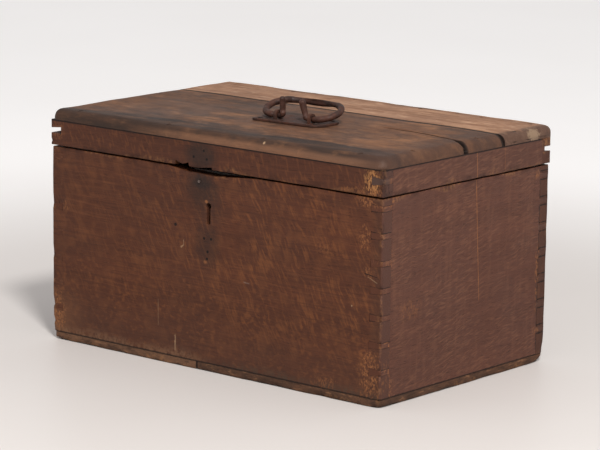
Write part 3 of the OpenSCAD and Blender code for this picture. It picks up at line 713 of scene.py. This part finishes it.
def right_marks(net, colour, broad, flaky):
    """Dovetail edges at both corners, open joints at the rear one, worn spots and one long scratch."""
    y = net.sides[1]
    colour = side_strokes(net, colour, (0.225, 0.100, 0.055), 5.0)
    rear = net.ramp(net.shaken(y, broad, 0.02), 0.121, 0.127)
    colour = net.paint(colour, (0.050, 0.025, 0.019), rear, 0.5)
    colour = net.mix(net.ramp(y, CHEST_LO.y + 0.0025, CHEST_LO.y + 0.0008), colour, (0.078, 0.027, 0.0145))
    colour = seam_shadow(net, colour, flaky)
    for i, level in enumerate(PIN_LEVELS):
        for edge, inner in ((level - 0.0036, -0.1300), (level + 0.0036, -0.1330)):
            inner += 0.002 * math.sin(5 * i + edge * 800)
            tick = net.streak((-CORNER_Y, edge), (inner, edge), 0.0009, END, flaky)
            colour = net.paint(colour, HOLE, tick, 0.45 + 0.35 * math.sin(2.3 * i + 900 * edge))
    for i, level in enumerate(PIN_LEVELS):
        for edge in (level - 0.0040, level + 0.0040):
            tick = net.streak((BACK_JOINT_Y, edge), (CORNER_Y, edge), 0.0009, END, flaky)
            colour = net.paint(colour, HOLE, tick, 0.8)
        low, high = level - PIN_STEP + 0.0050, level - 0.0050
        open_joint = net.streak((0.1252, low), (0.1250, high), 0.0019, END, flaky)
        colour = net.paint(colour, HOLE, open_joint, 0.75 + 0.2 * math.sin(4.0 * i))
    colour = rubbed_through(net, colour, END, flaky, 52.0, RIGHT_RUBBED)
    return strokes(net, colour, END, flaky, RIGHT_STROKES)


LID_FRONT_RUBBED = (
    ((0.2120, 0.2260), (0.0085, 0.0140), 0.85, (0.34, 0.155, 0.055)),
    ((0.2160, 0.2150), (0.009, 0.004), 0.7, ORANGE),
    ((0.1870, 0.2150), (0.014, 0.003), 0.45, ORANGE),
    ((-0.2150, 0.2280), (0.008, 0.008), 0.3, ORANGE),
)


def under_top_shadow(net, colour):
    """The dark joint between a rail and the top boards."""
    return net.paint(colour, HOLE, net.ramp(net.sides[2], RAIL_HI.z - 0.0022, RAIL_HI.z - 0.0006), 0.9)


def lid_front_marks(net, colour, broad, flaky):
    """The stain and nail holes of the hasp's plate, and a crazed, worn right end."""
    x = net.sides[0]
    colour = flecks(net, colour, (300, 120, 90), (0, 20, 0), 9.0, 0.28, FLECK)
    plate = net.patch((-0.012, 0.225), (0.019, 0.013), FRONT, broad, 1.2, 0.5)
    colour = net.paint(colour, STAIN, plate, 0.7)
    colour = nail_holes(net, colour, ((-0.0218, 0.2234), (-0.0040, 0.2225), (-0.0080, 0.2310)))
    colour = rubbed_through(net, colour, FRONT, flaky, 53.0, LID_FRONT_RUBBED, 0.44, 0.54)
    colour = net.mix(net.ramp(x, LID_HI.x - 0.0025, LID_HI.x - 0.0008), colour, (0.074, 0.034, 0.025))
    cracks = net.beside(net.noise((260, 260, 90), 2.0, 0.6, 3.0), 0.5, 0.0, 0.022)
    colour = net.paint(colour, HOLE, net.mul(cracks, net.ramp(x, 0.200, 0.206)), 0.9)
    return under_top_shadow(net, colour)


LID_RIGHT_STROKES = (
    ((0.0125, 0.212), (0.0110, 0.239), 0.0008, 0.8, ORANGE),
    ((0.0600, 0.212), (0.0590, 0.239), 0.0006, 0.4, ORANGE),
    ((-0.1300, 0.216), (-0.1290, 0.236), 0.0008, 0.6, ORANGE),
)


def lid_right_marks(net, colour, broad, flaky):
    """The upper end of the long scratch, and the grey end grain of the front rail."""
    y = net.sides[1]
    colour = side_strokes(net, colour, (0.235, 0.108, 0.062), 6.0)
    colour = strokes(net, colour, END, flaky, LID_RIGHT_STROKES)
    colour = net.mix(net.ramp(y, LID_LO.y + 0.0025, LID_LO.y + 0.0008), colour, (0.068, 0.0245, 0.0135))
    grey = net.mul(net.ramp(y, -0.128, -0.136), net.ramp(broad, 0.35, 0.6, 0.5, 1.0))
    colour = net.paint(colour, (0.060, 0.042, 0.036), grey, 0.6)
    return under_top_shadow(net, colour)


def mottled(net, colour, size, seed, deep, raised):
    """Small darker and lighter clouds, as on a board that was scrubbed, waxed and spilt on."""
    cloud = net.noise(size, 5.0, 0.72, seed)
    colour = net.mix(net.ramp(cloud, 0.50, 0.66, 0.0, 0.62), colour, deep)
    return net.mix(net.ramp(cloud, 0.47, 0.33, 0.0, 0.50), colour, raised)


def front_top_marks(net, colour, broad, flaky):
    """Dark grime along the round-over and the right end, sooty smears, warm rubbed patches, and a painted
    highlight on the round-over.
    """
    x, y, z = net.sides
    smear = net.noise((9, 34, 34), 4.0, 0.6, 5.0)
    smear_fine = net.noise((22, 120, 120), 3.0, 0.6, 8.0)
    warm = net.mul(net.ramp(smear, 0.50, 0.66), net.ramp(y, -0.120, -0.060))
    colour = net.paint(colour, (0.30, 0.135, 0.058), warm, 0.7)
    sooty = net.ramp(net.noise((8, 22, 22), 4.0, 0.65, 13.0), 0.50, 0.66)
    soot = net.mul(sooty, net.ramp(smear_fine, 0.3, 0.6, 0.45, 1.0))
    colour = net.paint(colour, (0.040, 0.027, 0.023), soot, 0.75)
    colour = mottled(net, colour, (55, 75, 75), 21.0, (0.052, 0.028, 0.019), (0.250, 0.118, 0.056))
    # the grimy round-over, with a painted highlight low on the front of its right half
    behind_lip = net.sub(y, LID_LO.y)
    reach = net.shaken(behind_lip, smear, -0.05)
    lip = net.mul(net.ramp(reach, 0.010, 0.024, 1.0, 0.0), net.ramp(smear_fine, 0.30, 0.62, 0.55, 1.0))
    top = net.ramp(z, 0.2430, 0.2485)
    right = net.ramp(x, -0.13, 0.0)
    shown = net.sub(1.0, net.mul(right, net.sub(1.0, net.mul(top, 0.75))))
    colour = net.paint(colour, (0.029, 0.018, 0.014), net.mul(lip, shown), 0.92)
    # painted highlight: a paler band low on the front of the round-over's right half
    painted_highlight_zone = net.mul(net.ramp(z, 0.2485, 0.2440), right)
    pale = net.mul(painted_highlight_zone, net.ramp(behind_lip, 0.008, 0.003))
    colour = net.paint(colour, (0.170, 0.085, 0.050), pale, 0.60)
    blue = net.mul(net.beside(reach, 0.020, 0.0, 0.011), net.ramp(smear, 0.40, 0.58))
    colour = net.paint(colour, (0.021, 0.0165, 0.0155), blue, 0.85)
    end = net.ramp(net.shaken(net.sub(LID_HI.x, x), smear_fine, -0.03), 0.012, 0.050, 1.0, 0.0)
    colour = net.paint(colour, (0.066, 0.034, 0.024), end, 0.66)
    joint = net.ramp(net.shaken(net.sub(JOINT_Y, y), flaky, 0.0020), 0.0022, 0.0050, 1.0, 0.0)
    colour = net.paint(colour, HOLE, joint, 0.9)
    split = net.beside(y, net.ramp(x, 0.14, 0.23, 0.004, -0.006), 0.0008, 0.0034)
    split = net.mul(split, net.ramp(x, CRACK_FROM - 0.01, CRACK_FROM + 0.03))
    colour = net.paint(colour, HOLE, split, 0.92)
    scar = net.patch((0.070, 0.2480), (0.0014, 0.0012), FRONT, flaky, 1.0)
    return net.paint(colour, (0.34, 0.22, 0.13), net.mul(scar, net.ramp(y, -0.110, -0.130)), 0.9)


def rear_top_marks(net, colour, broad, flaky):
    """Dark nail stains and chips along the rear edge, a soiled right end and one bare patch."""
    x, y = net.sides[:2]
    broken = net.noise((30, 90, 90), 3.0, 0.6, 9.0)
    spots = net.mul(net.ramp(net.sub(BACK_Y, y), 0.003, 0.014, 1.0, 0.0), net.ramp(broken, 0.50, 0.60))
    colour = net.paint(colour, (0.040, 0.024, 0.018), spots, 0.85)
    colour = mottled(net, colour, (34, 70, 70), 23.0, (0.205, 0.098, 0.053), (0.52, 0.32, 0.21))
    streaky = net.noise((9, 110, 110), 4.0, 0.7, 4.0)
    colour = net.mix(net.ramp(streaky, 0.48, 0.66, 0.0, 0.75), colour, (0.17, 0.080, 0.042))
    end = net.ramp(net.shaken(net.sub(LID_HI.x, x), broken, -0.02), 0.005, 0.016, 1.0, 0.0)
    colour = net.paint(colour, (0.072, 0.040, 0.030), end, 0.85)
    joint = net.ramp(net.shaken(net.sub(y, REAR_LO_Y), flaky, 0.0010), 0.0006, 0.0020, 1.0, 0.0)
    colour = net.paint(colour, HOLE, joint, 0.85)
    bare = net.patch((0.110, 0.2450), (0.0100, 0.0054), END, flaky, 3.2, 0.3)
    return net.paint(colour, (0.29, 0.200, 0.130), net.mul(bare, net.ramp(x, 0.205, 0.215)), 0.7)


def hidden_marks(net, colour, broad, flaky):
    """Flecks on the boards at the back, and the dovetail edges in their right end grain."""
    colour = flecks(net, colour, (200, 120, 70), (0, -20, 0), 15.0, 0.4, FLECK)
    end = net.ramp(net.sides[0], CHEST_HI.x - 0.004, CHEST_HI.x - 0.0015)
    colour = net.paint(colour, (0.066, 0.030, 0.021), end, 0.6)
    for level in PIN_LEVELS:
        for edge in (level - 0.0046, level + 0.0046):
            tick = net.streak((BACK_JOINT_Y, edge), (CORNER_Y, edge + 0.0004), 0.0012, END, flaky)
            colour = net.paint(colour, HOLE, net.mul(tick, end), 0.8)
    return colour


def left_marks(net, colour, broad, flaky):
    return side_strokes(net, colour, (0.200, 0.086, 0.042), 17.0)


# ---------------------------------------------------------------- materials

SIDE, SIDE_DARK, SIDE_LIGHT = (0.099, 0.039, 0.0258), (0.072, 0.029, 0.0200), (0.150, 0.064, 0.038)
BOARD = (BROWN, BROWN_DARK, BROWN_LIGHT)
END_BOARD = (SIDE, SIDE_DARK, SIDE_LIGHT)
LID_FRONT = ((0.070, 0.0240, 0.0130), BROWN_DARK, BROWN_LIGHT)
LID_END = ((0.092, 0.039, 0.0270), SIDE_DARK, SIDE_LIGHT)
FOOT_PALE = ((0.190, 0.092, 0.050), (0.085, 0.044, 0.026), (0.27, 0.155, 0.092))
FOOT_DARK = ((0.108, 0.049, 0.027), (0.045, 0.026, 0.017), (0.15, 0.080, 0.047))
TOP_DARK = ((0.150, 0.066, 0.033), (0.070, 0.034, 0.021), (0.23, 0.108, 0.054))
TOP_TAN = ((0.400, 0.222, 0.134), (0.200, 0.094, 0.050), (0.55, 0.34, 0.22))
CREVICE = ((0.016, 0.010, 0.008), (0.006, 0.004, 0.0035), (0.060, 0.030, 0.018))
chest_block = (CHEST_LO, Vector((CHEST_HI.x, BACK_Y, CHEST_HI.z)))
lid_block = (LID_LO, LID_HI)

# name, colours, grain axis, seed, then what differs from plain oak
MATERIALS = {
    name: oak(name, *colours, axis, seed, **rest) for name, colours, axis, seed, rest in (
        ("oak_front", BOARD, 0, 0.0,
         dict(block=chest_block, wear=0.32, rough=0.5, lines=0.45, marks=front_marks)),
        ("oak_back", BOARD, 0, 4.0,
         dict(block=chest_block, wear=0.5, rough=0.56, marks=hidden_marks)),
        ("oak_left", BOARD, 1, 8.0,
         dict(block=chest_block, wear=0.6, marks=left_marks)),
        ("oak_right", END_BOARD, 1, 12.0,
         dict(block=chest_block, wear=0.4, rough=0.54, lines=0.22, marks=right_marks)),
        ("oak_lid_front", LID_FRONT, 0, 1.0,
         dict(block=lid_block, wear=0.3, marks=lid_front_marks)),
        ("oak_lid_right", LID_END, 1, 13.0,
         dict(block=lid_block, wear=0.35, lines=0.25, marks=lid_right_marks)),
        ("bottom_oak_pale", FOOT_PALE, 1, 21.0,
         dict(block=chest_block, wear=0.4, rough=0.66, blotch=0.5, marks=bottom_marks)),
        ("bottom_oak_dark", FOOT_DARK, 1, 24.0,
         dict(block=chest_block, wear=0.45, rough=0.66, blotch=0.5, marks=bottom_marks)),
        ("top_oak_dark", TOP_DARK, 0, 31.0,
         dict(rough=0.56, bands=0.7, lines=0.5, blotch=0.5, marks=front_top_marks)),
        ("top_oak_tan", TOP_TAN, 0, 37.0,
         dict(rough=0.62, bands=0.7, lines=0.7, blotch=0.5, marks=rear_top_marks)),
        ("crevice", CREVICE, 0, 41.0, dict(rough=0.8)),
    )
}

RUST = (0.120, 0.045, 0.025)
WORN = (0.16, 0.12, 0.11)
WORN_LOCK = (0.18, 0.16, 0.15)
WORN_STEEL = (0.35, 0.33, 0.3)

# name, base, rust, rubbed colour, share of rust, share rubbed, roughness, seed
for name, base, rust, bright, rusty, polish, rough, seed in (
        ("bail_iron", (0.027, 0.0130, 0.0100), (0.095, 0.030, 0.016), (0.085, 0.045, 0.034),
         0.65, 0.30, 0.55, 1.0),
        ("handle_iron", (0.036, 0.0170, 0.0125), (0.100, 0.034, 0.018), WORN, 0.7, 0.0, 0.66, 2.0),
        ("nail_iron", (0.022, 0.016, 0.014), RUST, WORN, 0.5, 0.0, 0.6, 3.0),
        ("hinge_iron", (0.040, 0.030, 0.027), RUST, WORN, 0.55, 0.2, 0.58, 4.0),
        ("lock_iron", (0.050, 0.042, 0.038), RUST, WORN_LOCK, 0.4, 0.3, 0.5, 5.0),
        ("lock_case_iron", (0.042, 0.036, 0.033), RUST, WORN_LOCK, 0.4, 0.2, 0.52, 6.0),
        ("bolt_iron", (0.16, 0.145, 0.13), RUST, WORN_STEEL, 0.25, 0.7, 0.38, 7.0),
        ("spring_steel", (0.15, 0.14, 0.13), RUST, WORN_STEEL, 0.2, 0.6, 0.35, 8.0),
        ("broken_iron", (0.040, 0.030, 0.026), RUST, (0.20, 0.18, 0.17), 0.3, 0.35, 0.5, 9.0)):
    MATERIALS[name] = iron(name, base, rust, bright, rusty, polish, rough, seed)


# ---------------------------------------------------------------- wood pieces

# extra cuts per axis, close together along the crack and under the break in the seam
crack_lines = {1: [(c + d) * MM for c in (4.0, 1.0, -2.0, -5.0) for d in (-1.2, -0.5, 0.5, 1.2)],
               0: [CRACK_FROM + 0.006 * i for i in range(17)]}
seam_lines = {0: [(-60 + 3.0 * i) * MM for i in range(42)],
              2: [SEAM_Z - 0.003, SEAM_Z - 0.005, SEAM_Z - 0.0065]}


def board(node, field, block, middle, extra=None):
    materials = (MATERIALS[slot_of[node]], MATERIALS["crevice"])
    return refined(node, materials, field, middle, 0.00045, extra, block)


for node in ("front_board", "back_board", "left_board", "right_board",
             "bottom_board_left", "bottom_board_right"):
    board(node, chest_wear, chest_block, 0.012, seam_lines if node == "front_board" else None)
for node in ("lid_front_rail", "lid_back_rail", "lid_left_rail", "lid_right_rail"):
    board(node, lid_wear, lid_block, 0.009, {0: seam_lines[0]} if node == "lid_front_rail" else None)
board("lid_front_top_board", top_front_wear, lid_block, 0.009, crack_lines)
board("lid_rear_top_board", top_rear_wear, lid_block, 0.009)


# ---------------------------------------------------------------- iron pieces

for node in ("hinge_strap_left", "hinge_strap_right", "hinge_leaf_left", "hinge_leaf_right",
             "lock_plate", "lock_case", "lid_catch", "lock_bolt", "handle_plate"):
    refined(node, (MATERIALS[slot_of[node]],), None, 0.02, 0.0003)


def forged_bail():
    """The bail with a hammered, uneven rod, a little fuller between the eyes that hold it."""
    source = frame["nodes"]["handle_bail"]
    eyes = [sum(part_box(n), Vector()) / 2 for n in ("handle_staple_left", "handle_staple_right")]
    bm = bmesh.new()
    bm.from_mesh(source.data)
    bmesh.ops.remove_doubles(bm, verts=bm.verts[:], dist=1e-6)
    long_edges = [e for e in bm.edges if e.calc_length() > 0.003]
    bmesh.ops.subdivide_edges(bm, edges=long_edges, cuts=3, use_grid_fill=True)
    bm.normal_update()
    pushes = []
    for v in bm.verts:
        clear = min(smooth((abs(v.co.x - e.x) - 0.004) / 0.004) for e in eyes)
        swell = clear * (0.00070 + 0.00034 * wobble(v.co, 0.006, 5.0))
        pushes.append(v.normal * (swell + 0.00008 * wobble(v.co, 0.002, 2.0)))
    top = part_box("handle_bail")[1].z
    for v, push in zip(bm.verts, pushes):
        v.co += push
        v.co.z = min(v.co.z, top - 0.002 + (v.co.z - top + 0.002) * 0.7)
    mesh = bpy.data.meshes.new("handle_bail_forged")
    bm.to_mesh(mesh)
    bm.free()
    shade(mesh, 60)
    piece_from_mesh("handle_bail_forged", mesh, source["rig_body"],
                    (MATERIALS["bail_iron"],), ("handle_bail",))


def sunk_nails():
    """The lid's nails, carried along with the worn surface round their heads."""
    source = frame["nodes"]["lid_nails"]
    bm = bmesh.new()
    bm.from_mesh(source.data)
    bmesh.ops.remove_doubles(bm, verts=bm.verts[:], dist=1e-6)
    for v in bm.verts:
        if v.co.z > TOP_LO.z + 0.006:
            (top_front_wear if v.co.y < JOINT_Y else top_rear_wear)(v.co)
            v.co.z -= 0.0002
    mesh = bpy.data.meshes.new("lid_nails_worn")
    bm.to_mesh(mesh)
    bm.free()
    shade(mesh)
    piece_from_mesh("lid_nails_worn", mesh, source["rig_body"],
                    (MATERIALS["top_oak_dark"],), ("lid_nails",))


forged_bail()
sunk_nails()
for node, obj in frame["nodes"].items():
    if obj.hide_render:
        continue
    obj.data.materials.clear()
    obj.data.materials.append(MATERIALS[slot_of[node]])
    shade(obj.data)


# ---------------------------------------------------------------- floor, backdrop, light and camera

def stage_plane(name, half, near_colour, far_colour):
    """A square floor that pales with distance, as under a white wall, and whose far part glows: painted
    light for a bright backdrop.
    """
    mesh = bpy.data.meshes.new(name)
    corners = [(-half, -half, 0), (half, -half, 0), (half, half, 0), (-half, half, 0)]
    mesh.from_pydata(corners, [], [(0, 1, 2, 3)])
    obj = bpy.data.objects.new(name, mesh)
    bpy.context.scene.collection.objects.link(obj)
    net = Net(name)
    tone = net.noise(3)
    x, y = net.sides[:2]
    far = net.ramp(net.math("SQRT", net.add(net.mul(x, x), net.mul(y, y))), 0.42, 1.3)
    plain = net.mix(far, near_colour, far_colour)
    soiled = net.mix(net.ramp(tone, 0.3, 0.7, 0.0, 0.05), plain, (0.5, 0.45, 0.42))
    net.finish(soiled, 0.45, net.bump(tone, 0.001, 0.1))
    # painted light: the far part of the floor glows, brightening the backdrop
    net.shader.inputs["Emission Color"].default_value = (1, 1, 1, 1)
    net.put(net.mul(far, 0.24), net.shader.inputs["Emission Strength"])
    mesh.materials.append(net.material)


stage_plane("floor", 9.0, (0.70, 0.665, 0.645), (0.87, 0.855, 0.85))

scene = bpy.context.scene
scene.view_settings.view_transform = "Standard"
world = bpy.data.worlds.new("studio")
scene.world = world
world.use_nodes = True
world.node_tree.nodes["Background"].inputs[0].default_value = (1.0, 0.975, 0.965, 1)
world.node_tree.nodes["Background"].inputs[1].default_value = 0.60


def area_light(name, direction, distance, size, watts, colour):
    data = bpy.data.lights.new(name, "AREA")
    data.shape = "DISK"
    data.size = size
    data.energy = watts
    data.color = colour
    obj = bpy.data.objects.new(name, data)
    scene.collection.objects.link(obj)
    obj.location = Vector((0, 0, 0.1)) + Vector(direction).normalized() * distance
    obj.rotation_euler = Vector(direction).to_track_quat("Z", "Y").to_euler()


area_light("key", (0.755, -0.656, 1.0), 3.0, 0.45, 76, (1.0, 0.98, 0.95))

# the photo's viewing angle, with the lens for a sensor 36 mm wide
AZIMUTH, ELEVATION, ROLL = math.radians(39.715), math.radians(11.1), math.radians(0.79)
DISTANCE = 3.166631
LENS = 178.98954
LOOK_AT = Vector((0, 0, 0.120))
SLIDE_RIGHT, SLIDE_UP = 0.003156, 0.014687
run = math.cos(ELEVATION)
back = Vector((math.sin(AZIMUTH) * run, -math.cos(AZIMUTH) * run, math.sin(ELEVATION)))
flat_right = Vector((math.cos(AZIMUTH), math.sin(AZIMUTH), 0))
flat_up = back.cross(flat_right)
right = math.cos(ROLL) * flat_right + math.sin(ROLL) * flat_up
up = -math.sin(ROLL) * flat_right + math.cos(ROLL) * flat_up
camera_data = bpy.data.cameras.new("camera")
camera_data.sensor_width = 36.0
camera_data.lens = LENS
camera = bpy.data.objects.new("camera", camera_data)
scene.collection.objects.link(camera)
camera.matrix_world = Matrix((right, up, back)).transposed().to_4x4()
camera.location = LOOK_AT + right * SLIDE_RIGHT + up * SLIDE_UP + back * DISTANCE
scene.camera = camera
